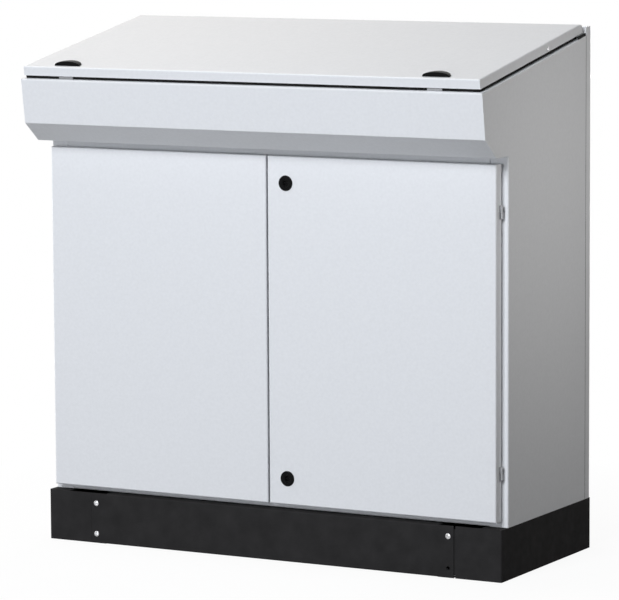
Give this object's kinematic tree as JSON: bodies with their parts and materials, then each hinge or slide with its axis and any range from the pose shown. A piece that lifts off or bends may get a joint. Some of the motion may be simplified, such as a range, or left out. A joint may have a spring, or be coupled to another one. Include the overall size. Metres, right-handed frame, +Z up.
{
  "type": "control desk console",
  "caption": "Free-standing sheet-steel control desk with a sloped hinged lid, a desk front that overhangs two hinged doors, quarter-turn locks and a black plinth.",
  "frame": {"origin": "centre of the bounding box, on the floor under the plinth", "axes": "+Z up, the front with its two doors faces -Y, +X to the right seen from the front"},
  "size_m": [1, 0.4848, 1.028],
  "materials": {
    "powder_coat": "light grey textured powder coat",
    "plinth_black": "satin black powder coat",
    "zinc": "zinc-plated steel",
    "bright_screws": "bright plated screws",
    "seal": "matt black foam",
    "lock_black": "satin black moulded plastic"
  },
  "bodies": {
    "cabinet": {"plinth_end_left": "plinth_black", "plinth_end_right": "plinth_black", "plinth_cover_front": "plinth_black", "plinth_cover_rear": "plinth_black", "plinth_screws": "bright_screws", "side_panel_left": "powder_coat", "side_panel_right": "powder_coat", "rear_panel": "powder_coat", "desk_front": "powder_coat", "rear_rail": "powder_coat", "floor_panel": "powder_coat", "gland_plate": "zinc", "centre_post": "powder_coat", "mounting_plate": "zinc", "plate_studs": "zinc", "lid_seal": "seal", "lid_keepers": "powder_coat", "lid_hinge_brackets": "zinc", "frame_hinges_left": "zinc", "frame_hinges_right": "zinc"},
    "left_door": {"door_skin_left": "powder_coat", "door_rails_left": "powder_coat", "door_seal_left": "seal", "door_hinges_left": "zinc"},
    "right_door": {"door_skin_right": "powder_coat", "door_rails_right": "powder_coat", "door_seal_right": "seal", "door_hinges_right": "zinc", "lock_body_upper": "lock_black", "lock_body_lower": "lock_black"},
    "door_lock_upper": {"lock_insert_upper": "lock_black", "lock_cam_upper": "zinc"},
    "door_lock_lower": {"lock_insert_lower": "lock_black", "lock_cam_lower": "zinc"},
    "lid": {"lid_skin": "powder_coat", "lid_rails": "powder_coat", "lid_hinge_leaves": "zinc", "lid_lock_sleeves": "lock_black"},
    "lid_lock_left": {"lid_knob_left": "lock_black", "lid_cam_left": "zinc"},
    "lid_lock_right": {"lid_knob_right": "lock_black", "lid_cam_right": "zinc"}
  },
  "joints": [
    {"name": "left_door_hinge", "type": "hinge", "parent": "cabinet", "child": "left_door", "pos_m": [-0.49, -0.13995, 0.4], "axis": [0, 0, -1], "range_deg": [0, 120]},
    {"name": "right_door_hinge", "type": "hinge", "parent": "cabinet", "child": "right_door", "pos_m": [0.49, -0.13995, 0.4], "axis": [0, 0, 1], "range_deg": [0, 120]},
    {"name": "lid_hinge", "type": "hinge", "parent": "cabinet", "child": "lid", "pos_m": [0, 0.19805, 1.01697], "axis": [-1, 0, 0], "range_deg": [0, 75]},
    {"name": "door_lock_upper_turn", "type": "hinge", "parent": "right_door", "child": "door_lock_upper", "pos_m": [0.0416, -0.15945, 0.734], "axis": [0, 1, 0], "range_deg": [0, 90]},
    {"name": "door_lock_lower_turn", "type": "hinge", "parent": "right_door", "child": "door_lock_lower", "pos_m": [0.0416, -0.15945, 0.1625], "axis": [0, -1, 0], "range_deg": [0, 90]},
    {"name": "lid_lock_left_turn", "type": "hinge", "parent": "lid", "child": "lid_lock_left", "pos_m": [-0.4, -0.2148, 0.95387], "axis": [0, 0.1771, -0.9842], "range_deg": [0, 90]},
    {"name": "lid_lock_right_turn", "type": "hinge", "parent": "lid", "child": "lid_lock_right", "pos_m": [0.4, -0.2148, 0.95387], "axis": [0, -0.1771, 0.9842], "range_deg": [0, 90]}
  ]
}
